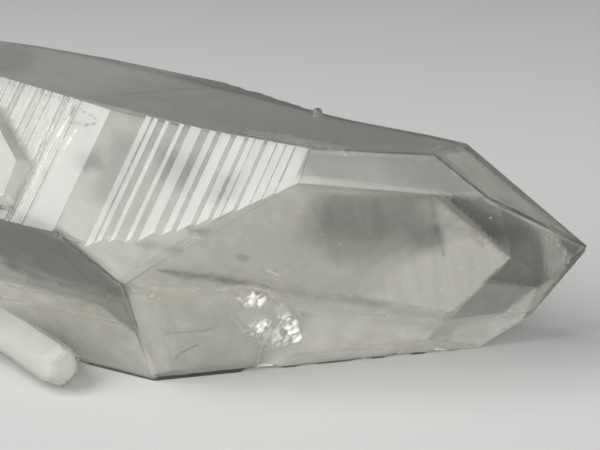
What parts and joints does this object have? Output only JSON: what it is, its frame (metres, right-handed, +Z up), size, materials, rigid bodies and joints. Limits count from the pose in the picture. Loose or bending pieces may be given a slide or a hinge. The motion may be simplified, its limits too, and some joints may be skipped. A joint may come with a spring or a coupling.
{
  "type": "lemurian phantom quartz crystal",
  "caption": "Clear to milky quartz point lying on a prism face, with a ladder of growth steps, small side crystals and a broken base.",
  "frame": {"origin": "under the middle of the crystal's bounding box, on the surface it rests on", "axes": "+X along the crystal towards its tip, +Z up, -Y towards the striated side that the picture shows"},
  "size_m": [0.0788, 0.0372, 0.0341],
  "materials": {
    "quartz": "natural crystal faces, clear to slightly milky, with glossy steps and frosted patches"
  },
  "bodies": {
    "root": {"quartz_crystal": "quartz"}
  },
  "joints": []
}
